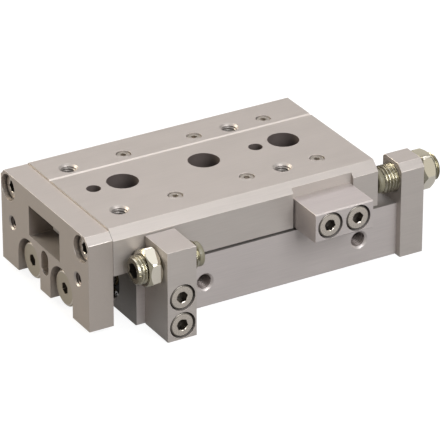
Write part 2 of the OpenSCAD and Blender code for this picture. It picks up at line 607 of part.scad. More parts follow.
// ---------------------------------------------------------------- stroke adjusters
module front_adjuster_bracket() color(aluminium) placed() difference() {
  union() {
    box(front_x, front_x + front_t, front_y, -half_w, 0, body_h);
    box(front_x, front_x + front_t, front_y, -half_w - 0.4, 0, front_h);
  }
  xcyl(front_x - 1, front_axis_y, front_bolt_z, bolt_d + 2 * seal_play, front_t + 2);
  for (z = front_screws_z) {
    ycyl(front_screw_x, front_y - 1, z, m4_clear, front_reach + 2);
    ycyl(front_screw_x, front_y - 1, z, m4_cbore, 1 + m4_head_h + head_sink);
  }
}
module front_bracket_screws() color(steel) placed() for (z = front_screws_z)
  translate([front_screw_x, front_y + m4_head_h + head_sink, z]) rotate([90, 0, 0])
    cap_screw(m4_d, m4_head, m4_head_h, m4_hex, front_reach - m4_head_h - head_sink + bracket_thread);

// hex nut with its corners bevelled at 45 degrees, thickness along Z
module lock_nut() {
  face = nut_flats * nut_face;
  difference() {
    intersection() {
      hex(nut_flats, nut_t);
      cylinder(d1 = face, d2 = face + 2 * nut_t, h = nut_t);
      cylinder(d1 = face + 2 * nut_t, d2 = face, h = nut_t);
    }
    translate([0, 0, -1]) cylinder(d = bolt_d + 2 * seal_play, h = nut_t + 2);
  }
}
module front_lock_nut() color(bright) placed()
  translate([front_x - nut_t, front_axis_y, front_bolt_z]) rotate([0, 90, 0]) lock_nut();

// adjuster bolt along +Z with a socket in its lower end
module adjuster_bolt(l) {
  difference() {
    union() {
      cylinder(d1 = bolt_d - 2 * bolt_bevel, d2 = bolt_d, h = bolt_bevel);
      translate([0, 0, bolt_bevel]) cylinder(d = bolt_d, h = l - 2 * bolt_bevel);
      translate([0, 0, l - bolt_bevel]) cylinder(d1 = bolt_d, d2 = bolt_d - 2 * bolt_bevel, h = bolt_bevel);
    }
    translate([0, 0, -eps]) hex(m4_hex, 2.8);
  }
}
module front_adjuster_bolt() color(bright) placed()
  translate([front_x - front_bolt_end, front_axis_y, front_bolt_z]) rotate([0, 90, 0])
    adjuster_bolt(front_tip_x - bumper_t - front_x + front_bolt_end);
module bumper() {
  cylinder(d = bolt_d - 2 * bolt_bevel, h = bumper_t * 0.75);
  translate([0, 0, bumper_t * 0.75])
    cylinder(d1 = bolt_d - 2 * bolt_bevel, d2 = bolt_d - 2 * bolt_bevel - bumper_t / 2, h = bumper_t / 4);
}
module front_bumper() color(bright) placed()
  translate([front_tip_x - bumper_t, front_axis_y, front_bolt_z]) rotate([0, 90, 0]) bumper();

module rear_adjuster_bracket() color(aluminium) placed() difference() {
  along_x(body_x1, rear_t) polygon([
    [rear_y0, 0], [rear_y0, rear_h - plate_chamfer], [rear_y0 + plate_chamfer, rear_h],
    [rear_y0 + rear_w - 0.8, rear_h], [rear_y0 + rear_w, rear_h - 0.8], [rear_y0 + rear_w, 0]]);
  xcyl(body_x1 - 1, rear_axis_y, rear_bolt_z, bolt_d + 2 * seal_play, rear_t + 2);
  for (z = rear_screws_z) {
    xcyl(body_x1 - 1, rear_screw_y, z, m4_clear, rear_t + 2);
    xcyl(body_x1 + rear_t - m4_head_h - head_sink, rear_screw_y, z, m4_cbore, 10);
  }
}
module rear_bracket_screws() color(steel) placed() for (z = rear_screws_z)
  translate([body_x1 + rear_t - m4_head_h - head_sink, rear_screw_y, z]) rotate([0, 90, 0])
    cap_screw(m4_d, m4_head, m4_head_h, m4_hex, m4_l);
module rear_lock_nut() color(bright) placed()
  translate([body_x1 + rear_t, rear_axis_y, rear_bolt_z]) rotate([0, 90, 0]) rotate(30) lock_nut();
module rear_adjuster_bolt() color(bright) placed() {
  x0 = table_l + bumper_gap + bumper_t;
  x1 = body_x1 + rear_t + nut_t + rear_bolt_end;
  translate([x1, rear_axis_y, rear_bolt_z]) rotate([0, -90, 0]) adjuster_bolt(x1 - x0);
}
module rear_bumper() color(bright) placed()
  translate([table_l + bumper_gap + bumper_t, rear_axis_y, rear_bolt_z]) rotate([0, -90, 0]) bumper();

body_block();
rod_covers();
rod_seals();
cover_o_rings();
snap_rings();
head_caps();
head_cap_o_rings();
guide_block();
guide_screws();
guide_end_plates();
guide_end_screws();
front_adjuster_bracket();
front_bracket_screws();
front_lock_nut();
rear_adjuster_bracket();
rear_bracket_screws();
rear_lock_nut();
table();
end_plate();
plate_screws();
stopper_block();
stopper_screws();
table_rails();
rail_screws();
rail_end_stops();
rod_end_bolts();
rod_collars();
piston_rods();
pistons();
piston_seals();
piston_magnets();
piston_bumpers();
roller_cages();
crossed_rollers();
front_adjuster_bolt();
front_bumper();
rear_adjuster_bolt();
rear_bumper();
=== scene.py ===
import json
import math

import bpy
from bpy.props import FloatProperty, FloatVectorProperty, IntProperty, PointerProperty
from mathutils import Matrix, Vector


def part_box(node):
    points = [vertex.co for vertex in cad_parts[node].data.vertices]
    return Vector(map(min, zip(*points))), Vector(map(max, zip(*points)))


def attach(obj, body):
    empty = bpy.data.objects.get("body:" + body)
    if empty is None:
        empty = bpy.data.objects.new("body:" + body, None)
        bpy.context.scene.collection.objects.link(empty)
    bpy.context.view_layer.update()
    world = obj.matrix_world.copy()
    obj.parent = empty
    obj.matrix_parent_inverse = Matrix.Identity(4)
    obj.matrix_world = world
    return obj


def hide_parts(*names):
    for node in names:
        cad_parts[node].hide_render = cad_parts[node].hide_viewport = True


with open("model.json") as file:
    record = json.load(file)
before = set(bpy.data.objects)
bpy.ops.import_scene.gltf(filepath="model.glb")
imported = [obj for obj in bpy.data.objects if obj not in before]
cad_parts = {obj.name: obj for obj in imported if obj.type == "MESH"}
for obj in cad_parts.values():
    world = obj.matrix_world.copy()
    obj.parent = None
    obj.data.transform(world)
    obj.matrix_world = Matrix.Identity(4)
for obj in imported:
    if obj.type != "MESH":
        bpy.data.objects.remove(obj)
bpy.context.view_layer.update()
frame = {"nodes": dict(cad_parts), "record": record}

bl_info = {
    "name": "Pneumatic Slide Table",
    "version": (1, 0, 0),
    "blender": (4, 5, 0),
    "location": "View3D > Sidebar > Slide Table",
    "description": "Dresses a machined slide table: eased edges, threads, screws, finishes "
                   "and a plain studio",
    "category": "Object",
}

MM = 0.001
BODY_OF = {node: body for body, nodes in frame["record"]["behaviour"]["bodies"].items()
           for node in nodes}
SLOT_OF = {part["node"]: part["material_slot"] for part in frame["record"]["subparts"]}
AXES = (Vector((1, 0, 0)), Vector((0, 1, 0)), Vector((0, 0, 1)))
HOLE_MARGIN = 0.1 * MM      # how far past its wall a hole's faces are looked for
ACCESS_OVER_THROUGH = 2.05  # an access hole's share of the through hole's search radius
FINE_BUMP = 0.00002         # depth of a fine grain or streak
LEVEL = 1e-7                # edges whose ends differ by less than this in height lie level
KNURL_RIBS = 36             # ribs round a cap screw's head
THREAD_ROOT = 0.46          # half the width of a thread's ridge at its root, in pitches
THREAD_CREST = 0.12         # width of a thread's ridge at its crest, in pitches


def mount_holes(names):
    """Centres and radii of the record's holes, a little past their walls."""
    found = []
    for m in frame["record"]["mounts"]:
        if m["name"] not in names:
            continue
        p, a, d = Vector(m["pos_m"]), Vector(m["axis"]), m["dims"]
        across = [v for v, k in zip(AXES, a) if abs(k) < 0.5]
        sx, sy = d.get("spacing_x_mm", 0) / 2 * MM, d.get("spacing_y_mm", 0) / 2 * MM
        if m["kind"] != "bolt_pattern":
            sx = sy = 0
        r = d.get("hole_r_mm", d.get("r_mm")) * MM
        found += [(p + across[0] * i * sx + across[1] * j * sy, r + HOLE_MARGIN)
                  for i in ((-1, 1) if sx else (0,)) for j in ((-1, 1) if sy else (0,))]
    return found


# the drilled holes of each block, whose walls get painted shade; the table's access holes stand
# over the body's through holes
HOLES = {
    "table": mount_holes(["table_threads", "table_pin_front", "table_pin_rear"]) +
             [(p, r * ACCESS_OVER_THROUGH)
              for p, r in mount_holes(["through_hole_1", "through_hole_2", "through_hole_3"])],
    "body_block": mount_holes(["air_port_front", "air_port_rear"]),
    "end_plate": mount_holes(["plate_threads"]),
}


# ---------------------------------------------------------------- settings
class SlideTableSizes(bpy.types.PropertyGroup):
    """Sizes of the small features that are dressed onto the machined parts."""

    edge: FloatProperty(name="Eased edge",
                        description="Width of the eased edges on the machined blocks",
                        default=0.22 * MM, min=0.02 * MM, max=0.5 * MM, precision=5, unit="LENGTH")
    small_edge: FloatProperty(name="Small eased edge",
                              description="Width of the eased edges on small turned parts",
                              default=0.08 * MM, min=0.02 * MM, max=0.2 * MM, precision=5,
                              unit="LENGTH")
    adjuster_pitch: FloatProperty(name="Adjuster pitch",
                                  description="Thread pitch of the adjuster screws",
                                  default=1.0 * MM, min=0.5 * MM, max=1.5 * MM, precision=5,
                                  unit="LENGTH")
    m5_pitch: FloatProperty(name="M5 pitch",
                            description="Thread pitch of the table, the base and the air ports",
                            default=0.8 * MM, min=0.5 * MM, max=1.0 * MM, precision=5,
                            unit="LENGTH")
    m4_pitch: FloatProperty(name="M4 pitch", description="Thread pitch of the end plate's threads",
                            default=0.7 * MM, min=0.4 * MM, max=0.8 * MM, precision=5,
                            unit="LENGTH")
    thread_steps: IntProperty(name="Thread steps", description="Steps in one turn of a thread",
                              default=32, min=12, max=96)


class SlideTableFinish(bpy.types.PropertyGroup):
    """Colours and gloss of the finishes."""

    anodised: FloatVectorProperty(name="Anodised aluminium",
                                  description="Colour of the clear anodised blocks",
                                  default=(0.50, 0.455, 0.42), size=3, min=0, max=1,
                                  subtype="COLOR")
    anodised_rough: FloatProperty(name="Anodised roughness",
                                  description="Roughness of the clear anodised blocks",
                                  default=0.42, min=0, max=1, subtype="FACTOR")
    plated: FloatVectorProperty(name="Bright plating",
                                description="Colour of the lock nuts and adjuster screws",
                                default=(0.84, 0.79, 0.68), size=3, min=0, max=1, subtype="COLOR")
    screw: FloatVectorProperty(name="Screw steel", description="Colour of the cap screws",
                               default=(0.67, 0.61, 0.54), size=3, min=0, max=1, subtype="COLOR")
    ground: FloatVectorProperty(name="Ground steel",
                                description="Colour of the guide block, rails and rollers",
                                default=(0.52, 0.51, 0.50), size=3, min=0, max=1, subtype="COLOR")
    brass: FloatVectorProperty(name="Brass",
                               description="Colour of the roller cages and rod covers",
                               default=(0.60, 0.44, 0.20), size=3, min=0, max=1, subtype="COLOR")
    rubber: FloatVectorProperty(name="Rubber", description="Colour of the seals",
                                default=(0.02, 0.02, 0.02), size=3, min=0, max=1, subtype="COLOR")
    urethane: FloatVectorProperty(name="Urethane",
                                  description="Colour of the cast tips of the adjuster screws",
                                  default=(0.24, 0.22, 0.15), size=3, min=0, max=1, subtype="COLOR")


class SlideTableStudio(bpy.types.PropertyGroup):
    """Camera, lamps and floor."""

    azimuth: FloatProperty(name="Camera azimuth",
                           description="Turn of the camera from the near side to the end plate",
                           default=math.radians(30.18), subtype="ANGLE")
    elevation: FloatProperty(name="Camera elevation",
                             description="Height of the camera above the horizon",
                             default=math.radians(27.31), subtype="ANGLE")
    distance: FloatProperty(name="Camera distance",
                            description="Distance from the camera to its target", default=1.0,
                            min=0.2, max=5, unit="LENGTH")
    target: FloatVectorProperty(name="Camera target", description="Point that the camera looks at",
                                default=(-0.0027, -0.00479, 0.0121), size=3, subtype="TRANSLATION",
                                precision=5)
    lens: FloatProperty(name="Lens", description="Focal length on a 36 mm sensor", default=298.82,
                        min=20, max=600)
    key: FloatProperty(name="Key lamp", description="Power of the soft lamp above the near side",
                       default=8.4, min=0)
    side: FloatProperty(name="Side lamp",
                        description="Power of the soft warm lamp at the end plate's side",
                        default=6.3, min=0)
    top: FloatProperty(name="Top lamp", description="Power of the soft lamp above the far side",
                       default=2.9, min=0)
    world: FloatProperty(name="World", description="Strength of the plain world light",
                         default=0.06, min=0)
    glow: FloatProperty(name="Floor glow", description="How much the floor shines for the camera",
                        default=0.87, min=0, max=1)
    horizon: FloatVectorProperty(name="Horizon",
                                 description="Colour of the backdrop low down in reflections",
                                 default=(0.66, 0.64, 0.58), size=3, min=0, max=1, subtype="COLOR")
    gap: FloatProperty(name="Gap",
                       description="Brightness between backdrop and ceiling in reflections",
                       default=0.08, min=0, max=1)
    gap_low: FloatProperty(name="Gap from", description="Height of the gap's lower edge, as a sine",
                           default=0.448, min=0.05, max=0.6)
    gap_high: FloatProperty(name="Gap to", description="Height of the gap's upper edge, as a sine",
                            default=0.64, min=0.5, max=0.95)
    sheen: FloatProperty(name="Floor sheen", description="How much the floor shines in reflections",
                         default=0.30, min=0, max=1)
    floor: FloatVectorProperty(name="Floor", description="Colour of the floor",
                               default=(0.25, 0.25, 0.25), size=3, min=0, max=1, subtype="COLOR")


def sizes():
    return bpy.context.scene.slide_sizes


# ---------------------------------------------------------------- finishes
def node(tree, kind, place, **values):
    """Adds a shader node and sets its inputs by name or number."""
    n = tree.nodes.new(kind)
    n.location = place
    for key, value in values.items():
        n.inputs[int(key[1:]) if key[0] == "_" else key.replace("_", " ")].default_value = value
    return n


def finish(name, colour, metallic, roughness, spread, grain, bump, mottle, streak=0.0,
           along=(1, 0, 0), depth=FINE_BUMP):
    """A machined finish: fine grain in the bump and roughness, machining streaks along one axis
    and soft mottling of the colour."""
    mat = bpy.data.materials.get(name)
    if mat:
        return mat
    mat = bpy.data.materials.new(name)
    mat.use_nodes = True
    tree = mat.node_tree
    tree.nodes.clear()
    out = node(tree, "ShaderNodeOutputMaterial", (900, 0))
    shader = node(tree, "ShaderNodeBsdfPrincipled", (600, 0), Metallic=metallic)
    coords = node(tree, "ShaderNodeTexCoord", (-1200, 0))
    grain_noise = node(tree, "ShaderNodeTexNoise", (-800, -200), Scale=grain, Detail=3.0,
                       Roughness=0.6)
    broad = node(tree, "ShaderNodeTexNoise", (-800, 200), Scale=70.0, Detail=3.0, Roughness=0.55)
    stretch = node(tree, "ShaderNodeMapping", (-1000, -500))
    stretch.inputs["Scale"].default_value = [0.03 if a else 1.0 for a in along]
    lines = node(tree, "ShaderNodeTexNoise", (-800, -500), Scale=3200.0, Detail=2.0, Roughness=0.5)
    link = tree.links.new
    link(coords.outputs["Object"], grain_noise.inputs["Vector"])
    link(coords.outputs["Object"], broad.inputs["Vector"])
    link(coords.outputs["Object"], stretch.inputs["Vector"])
    link(stretch.outputs["Vector"], lines.inputs["Vector"])
    # colour: mottled, with faint streaks
    tint = node(tree, "ShaderNodeMix", (-200, 300))
    tint.data_type = "RGBA"
    tint.inputs["A"].default_value = [c * (1 - mottle) for c in colour] + [1]
    tint.inputs["B"].default_value = [min(1.0, c * (1 + mottle)) for c in colour] + [1]
    link(broad.outputs["Fac"], tint.inputs["Factor"])
    last = tint.outputs["Result"]
    if streak:
        band = node(tree, "ShaderNodeMapRange", (-400, 0), From_Min=0.35, From_Max=0.65,
                    To_Min=1 - streak * 0.25, To_Max=1 + streak * 0.12)
        shade = node(tree, "ShaderNodeVectorMath", (0, 300))
        shade.operation = "SCALE"
        link(lines.outputs["Fac"], band.inputs["Value"])
        link(last, shade.inputs[0])
        link(band.outputs["Result"], shade.inputs["Scale"])
        last = shade.outputs["Vector"]
    link(last, shader.inputs["Base Color"])
    # roughness follows the grain and the streaks
    rough = node(tree, "ShaderNodeMapRange", (0, -100), From_Min=0.3, From_Max=0.7,
                 To_Min=roughness - spread, To_Max=roughness + spread)
    link((lines if streak else grain_noise).outputs["Fac"], rough.inputs["Value"])
    link(rough.outputs["Result"], shader.inputs["Roughness"])
    relief = node(tree, "ShaderNodeBump", (300, -300), Strength=bump, Distance=depth)
    link(grain_noise.outputs["Fac"], relief.inputs["Height"])
    normal = relief.outputs["Normal"]
    if streak:
        grooves = node(tree, "ShaderNodeBump", (450, -400), Strength=bump * streak * 2,
                       Distance=FINE_BUMP)
        link(lines.outputs["Fac"], grooves.inputs["Height"])
        link(normal, grooves.inputs["Normal"])
        normal = grooves.outputs["Normal"]
    link(normal, shader.inputs["Normal"])
    link(shader.outputs["BSDF"], out.inputs["Surface"])
    return mat


def toned(colour, by):
    """A colour made darker or lighter, by one factor or by one for each channel."""
    factors = by if isinstance(by, tuple) else (by, by, by)
    return [min(1.0, c * k) for c, k in zip(colour, factors)]


def finishes():
    """Every finish by the name of its material slot: the record's, and those used beside them."""
    f = bpy.context.scene.slide_finish
    satin = dict(metallic=0.45, roughness=f.anodised_rough, spread=0.05, grain=2600, bump=0.08,
                 mottle=0.03)
    return {
        "anodised": finish("satin anodised aluminium", f.anodised, streak=0.14, **satin),
        # painted shade: a darker, warmer copy of the anodised finish for the end plate's sides,
        # while its top keeps the table's finish
        "plate": finish("anodised plate side in painted shade", toned(f.anodised, (0.90, 0.875, 0.85)),
                        streak=0.10, along=(0, 1, 0), **satin),
        "extruded": finish("satin anodised body", toned(f.anodised, (1.10, 1.10, 1.14)),
                           streak=0.18, **satin),
        # painted shade: a near-black copy of the anodised finish for the gap under the table's
        # skirt and the line where the table meets the end plate
        "seam": finish("shaded seam", toned(f.anodised, 0.14), 0.45, 0.50,
                       spread=0.06, grain=2600, bump=0.2, mottle=0.10),
        # painted shade: a darker copy of the anodised finish for the body's end faces and top
        "milled": finish("milled aluminium", toned(f.anodised, 0.56), 0.45, 0.44,
                         spread=0.08, grain=2600, bump=0.3, mottle=0.16, depth=0.00005),
        # painted highlight: a lighter, glossier copy of the anodised finish for upward eased edges
        # and the wall of the table's lengthwise V-cut
        "edge": finish("anodised edge with painted highlight", toned(f.anodised, 1.35), 0.6, 0.34,
                       spread=0.06, grain=2600, bump=0.10, mottle=0.05),
        "bright_steel": finish("bright nickel plate", f.plated, 1.0, 0.05,
                               spread=0.02, grain=1800, bump=0.03, mottle=0.05),
        # the cap screws' own steel, also used as painted highlight on the eased rims of the rod end
        # bolts
        "screw_steel": finish("rolled screw steel", f.screw, 1.0, 0.30,
                              spread=0.07, grain=2400, bump=0.10, mottle=0.08),
        # dull zinc: the adjusters' own plating, and painted shade on the lock nuts' chamfers
        "adjuster": finish("dull zinc plate", toned(f.plated, (0.46, 0.46, 0.42)), 1.0, 0.20,
                           spread=0.06, grain=2400, bump=0.8, mottle=0.3, depth=0.00012),
        # painted shade: a darker copy of the dull zinc for the adjusters' end faces
        "adjuster_end": finish("zinc end in painted shade", toned(f.plated, (0.26, 0.25, 0.22)), 1.0, 0.26,
                               spread=0.06, grain=2400, bump=0.3, mottle=0.2, depth=0.00005),
        "rail_screw": finish("rail screw steel", toned(f.screw, 0.72), 1.0, 0.34,
                             spread=0.07, grain=2400, bump=0.10, mottle=0.08),
        # painted shade: a darker copy of the anodised finish for the thread coils deep in holes
        "thread": finish("aluminium thread in painted hole shade", toned(f.anodised, 0.55), 0.45, 0.34,
                         spread=0.08, grain=2600, bump=0.12, mottle=0.08),
        # painted shade: a darker copy of the anodised finish for the walls of holes and the thread
        # coils deep in them
        "bore": finish("aluminium in painted hole shade", toned(f.anodised, (0.36, 0.33, 0.33)), 0.45, 0.40,
                       spread=0.08, grain=2600, bump=0.12, mottle=0.10),
        # painted shade: a dark copy of the screw steel for the sockets and the rolled sides and
        # rims of the cap screw heads
        "socket": finish("screw steel in painted shade", toned(f.screw, 0.26), 1.0, 0.36,
                         spread=0.08, grain=2400, bump=0.12, mottle=0.15),
        "ground_steel": finish("ground guide steel", f.ground, 1.0, 0.24,
                               spread=0.08, grain=2400, bump=0.06, mottle=0.05, streak=0.5),
        "chromed_rod": finish("polished rod chrome", (0.80, 0.80, 0.80), 1.0, 0.10,
                              spread=0.03, grain=2400, bump=0.03, mottle=0.02),
        "cage_brass": finish("stamped cage brass", f.brass, 1.0, 0.34,
                             spread=0.06, grain=2000, bump=0.10, mottle=0.08),
        "rod_end": finish("rod end steel", toned(f.screw, (0.66, 0.64, 0.56)), 1.0, 0.36,
                          spread=0.06, grain=2400, bump=0.10, mottle=0.08),
        # painted shade: the brass of the rod covers darkened, as they sit in the shade behind the
        # end plate
        "cover_brass": finish("cover brass darkened as painted shade", toned(f.brass, 0.35), 1.0, 0.28,
                              spread=0.06, grain=2000, bump=0.10, mottle=0.08, streak=0.4),
        "seal_rubber": finish("nitrile seal rubber", f.rubber, 0.0, 0.55,
                              spread=0.08, grain=1500, bump=0.20, mottle=0.2),
        "urethane": finish("cast urethane", f.urethane, 0.0, 0.42,
                           spread=0.06, grain=1500, bump=0.12, mottle=0.06),
        "magnet": finish("sintered magnet", (0.05, 0.05, 0.055), 0.7, 0.5,
                         spread=0.08, grain=1500, bump=0.25, mottle=0.15),
    }


def give(obj, slot):
    """Gives a piece the finish of a material slot."""
    obj.data.materials.clear()
    obj.data.materials.append(finishes()[slot])


# ---------------------------------------------------------------- modelling helpers
def clear_selection():
    if bpy.context.mode != "OBJECT":
        bpy.ops.object.mode_set(mode="OBJECT")
    bpy.ops.object.select_all(action="DESELECT")


def pick(obj):
    clear_selection()
    obj.hide_set(False)
    obj.select_set(True)
    bpy.context.view_layer.objects.active = obj


def apply(obj, kind, **settings):
    """Adds a modifier, sets it and applies it."""
    pick(obj)
    mod = obj.modifiers.new(kind.title(), kind)
    for key, value in settings.items():
        setattr(mod, key, value)
    bpy.ops.object.modifier_apply(modifier=mod.name)


def cut(obj, tool, operation="DIFFERENCE"):
    """Cuts a tool out of a piece, or keeps what they share, and removes the tool."""
    apply(obj, "BOOLEAN", operation=operation, solver="EXACT", object=tool)
    bpy.data.objects.remove(tool, do_unlink=True)


def edit(obj, mode, test):
    """Opens a piece in edit mode with the vertices, edges or faces selected that pass a test:
    on a vertex's place, on an edge's two ends, or on a face's centre and normal."""
    pick(obj)
    bpy.ops.object.mode_set(mode="EDIT")
    bpy.ops.mesh.select_mode(type=mode)
    bpy.ops.mesh.select_all(action="DESELECT")
    bpy.ops.object.mode_set(mode="OBJECT")
    mesh = obj.data
    if mode == "FACE":
        for p in mesh.polygons:
            p.select = test(p.center, p.normal)
    elif mode == "EDGE":
        for e in mesh.edges:
            e.select = test(mesh.vertices[e.vertices[0]].co, mesh.vertices[e.vertices[1]].co)
    else:
        for v in mesh.vertices:
            v.select = test(v.co)
    bpy.ops.object.mode_set(mode="EDIT")


def settle(obj, matrix=None, angle=32):
    """Puts a piece's place in its mesh, with its object at the origin, and smooths its shallow
    edges."""
    pick(obj)
    if matrix is not None:
        obj.matrix_world = matrix
        bpy.context.view_layer.update()
    bpy.ops.object.transform_apply(location=True, rotation=True, scale=True)
    bpy.ops.object.shade_smooth_by_angle(angle=math.radians(angle))
    clear_selection()


def joined(objects, name):
    clear_selection()
    for o in objects:
        o.select_set(True)
    bpy.context.view_layer.objects.active = objects[0]
    if len(objects) > 1:
        bpy.ops.object.join()
    objects[0].name = name
    return objects[0]


def seat(obj, node_name, finished=False):
    """The finished piece stands for a CAD node and rides on that node's body."""
    if finished:
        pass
    else:
        give(obj, SLOT_OF[node_name])
    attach(obj, BODY_OF[node_name])
    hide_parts(node_name)


def aim(point, direction):
    """Matrix that puts a piece made along +Z at a point, along a direction."""
    turn = Vector(direction).to_track_quat("Z", "Y").to_matrix().to_4x4()
    return Matrix.Translation(point) @ turn


def dress(node_name, edge, segments=2, slots=()):
    """A copy of a CAD node with its coplanar triangles merged and its sharp edges eased. The
    eased edges get the last of the slots."""
    source = frame["nodes"][node_name]
    obj = bpy.data.objects.new(node_name + "_dressed", source.data.copy())
    bpy.context.scene.collection.objects.link(obj)
    obj.data.materials.clear()
    for slot in slots:
        obj.data.materials.append(finishes()[slot])
    edit(obj, "VERT", lambda co: True)
    bpy.ops.mesh.select_all(action="SELECT")
    bpy.ops.mesh.remove_doubles(threshold=1e-6)
    bpy.ops.mesh.dissolve_limited(angle_limit=math.radians(0.4))
    bpy.ops.object.mode_set(mode="OBJECT")
    apply(obj, "BEVEL", width=edge, segments=segments, limit_method="ANGLE",
          angle_limit=math.radians(30), use_clamp_overlap=True, miter_outer="MITER_ARC",
          material=len(slots) - 1)
    settle(obj)
    apply(obj, "WEIGHTED_NORMAL", keep_sharp=True, weight=60)
    return obj


def thread_coil(name, root, crest, pitch, length, steps):
    """A helical ridge along +Z from the origin: inward where the crest is smaller than the root."""
    bpy.ops.mesh.primitive_plane_add(size=1)
    obj = bpy.context.active_object
    obj.name = name
    half, flat = pitch * THREAD_ROOT, pitch * THREAD_CREST / 2
    corners = [(root, 0, -half), (crest, 0, -flat), (root, 0, half), (crest, 0, flat)]
    for v, co in zip(obj.data.vertices, corners):
        v.co = co
    turns = max(1, int(round((length - pitch) / pitch)))
    rest = (length - turns * pitch) / 2
    for v in obj.data.vertices:
        v.co.z += rest
    edit(obj, "FACE", lambda c, n: True)
    bpy.ops.mesh.delete(type="ONLY_FACE")
    bpy.ops.object.mode_set(mode="OBJECT")
    apply(obj, "SCREW", axis="Z", angle=math.tau, screw_offset=pitch, iterations=turns,
          steps=steps, render_steps=steps, use_normal_calculate=True)
    edit(obj, "VERT", lambda co: True)
    bpy.ops.mesh.select_all(action="SELECT")
    bpy.ops.mesh.remove_doubles(threshold=1e-7)
    bpy.ops.mesh.select_all(action="DESELECT")
    bpy.ops.mesh.select_mode(type="EDGE")
    bpy.ops.mesh.select_non_manifold()
    bpy.ops.mesh.fill()
    bpy.ops.mesh.select_all(action="SELECT")
    bpy.ops.mesh.normals_make_consistent(inside=False)
    bpy.ops.object.mode_set(mode="OBJECT")
    return obj


def hex_socket(flats, depth, mouth):
    """A tool for a hexagon socket that opens at the origin along +Z, with a turned mouth."""
    bpy.ops.mesh.primitive_cylinder_add(vertices=6, radius=flats / math.sqrt(3),
                                        depth=depth + MM, location=(0, 0, (MM - depth) / 2))
    tool = bpy.context.active_object
    edit(tool, "FACE", lambda c, n: n.z < -0.9)
    bpy.ops.mesh.inset(thickness=flats * 0.12, depth=flats * 0.16)
    bpy.ops.object.mode_set(mode="OBJECT")
    bpy.ops.mesh.primitive_cone_add(vertices=48, radius1=0, radius2=mouth * 2,
                                    depth=mouth * 1.2, location=(0, 0, 0))
    return tool, bpy.context.active_object


def two_tone(obj, first, second, test):
    """Gives a piece two finishes: the second where a test on a face's centre and normal passes."""
    obj.data.materials.clear()
    obj.data.materials.append(finishes()[first])
    obj.data.materials.append(finishes()[second])
    for p in obj.data.polygons:
        p.material_index = int(test(p.center, p.normal))


def cap_screw(name, head_d, head_h, flats, shank_d, shank_l, rim, face, inside):
    """A socket head cap screw: seat of the head at the origin, head along +Z, shank along -Z."""
    sides = KNURL_RIBS * 2
    bpy.ops.mesh.primitive_cylinder_add(vertices=sides, radius=head_d / 2, depth=head_h,
                                        location=(0, 0, head_h / 2), end_fill_type="NGON")
    obj = bpy.context.active_object
    obj.name = name
    bpy.ops.object.transform_apply(location=True)
    edit(obj, "EDGE", lambda a, b: abs(a.z - head_h) < LEVEL and abs(b.z - head_h) < LEVEL)
    bpy.ops.mesh.bevel(offset=rim, segments=4, affect="EDGES", profile=0.5)
    bpy.ops.object.mode_set(mode="OBJECT")
    # knurl: every other rib of the side is drawn in
    edit(obj, "VERT", lambda co: math.hypot(co.x, co.y) > head_d / 2 - 1e-6 and
         int(round(math.atan2(co.y, co.x) / (math.tau / sides))) % 2 == 0)
    bpy.ops.transform.resize(value=(0.975, 0.975, 1), center_override=(0, 0, 0))
    bpy.ops.object.mode_set(mode="OBJECT")
    edit(obj, "FACE", lambda c, n: n.z < -0.9)
    bpy.ops.mesh.inset(thickness=(head_d - shank_d) / 2)
    bpy.ops.mesh.extrude_region_move(TRANSFORM_OT_translate={"value": (0, 0, -shank_l)})
    bpy.ops.mesh.bevel(offset=shank_d * 0.1, segments=1, affect="EDGES")
    bpy.ops.object.mode_set(mode="OBJECT")
    tool, cone = hex_socket(flats, head_h * 0.55, flats * 0.56)
    for t in (tool, cone):
        t.location.z += head_h
    cut(obj, tool)
    cut(obj, cone)
    # the rolled side, its rim and the socket get a dark finish: painted shade in the gap round the
    # head and in the socket
    two_tone(obj, face, inside, lambda c, n: not (n.z > 0.35 and c.z > head_h - 0.25 * MM and
             math.hypot(c.x, c.y) < head_d / 2 - rim * 0.9))
    return obj


def screw_set(node_name, head_d, head_h, flats, shank_d, head_towards, centres, rim,
              face="screw_steel", inside="socket"):
    """One screw modelled once and copied to each centre. The heads' tops lie on the node's
    outermost face."""
    low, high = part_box(node_name)
    way = Vector(head_towards)
    length = abs((high - low).dot(way))
    top = max(low.dot(way), high.dot(way))
    first = cap_screw(node_name + "_modelled", head_d, head_h, flats, shank_d, length - head_h,
                      rim, face, inside)
    copies = [first]
    for i in range(1, len(centres)):
        o = bpy.data.objects.new(first.name + str(i), first.data.copy())
        bpy.context.scene.collection.objects.link(o)
        copies.append(o)
    for i, (o, c) in enumerate(zip(copies, centres)):
        c = Vector(c)
        place = c - way * c.dot(way) + way * (top - head_h)
        turn = Matrix.Rotation(math.radians(17 + 23 * i), 4, "Z")
        settle(o, aim(place, way) @ turn, angle=28)
    seat(joined(copies, node_name + "_modelled"), node_name, finished=True)


# ---------------------------------------------------------------- operators
# a machined block's slots, in order: its main finish, then these: the plate's sides in painted
# shade, painted shade in holes, painted shade on the body, painted shade in gaps and where the
# table meets the end plate, and painted highlights on eased edges
MAIN, PLATE_SIDE_SHADE, HOLE_SHADE, BODY_SHADE, SEAM_SHADE, EDGE = range(6)
BLOCK_SLOTS = ("plate", "bore", "milled", "seam", "edge")


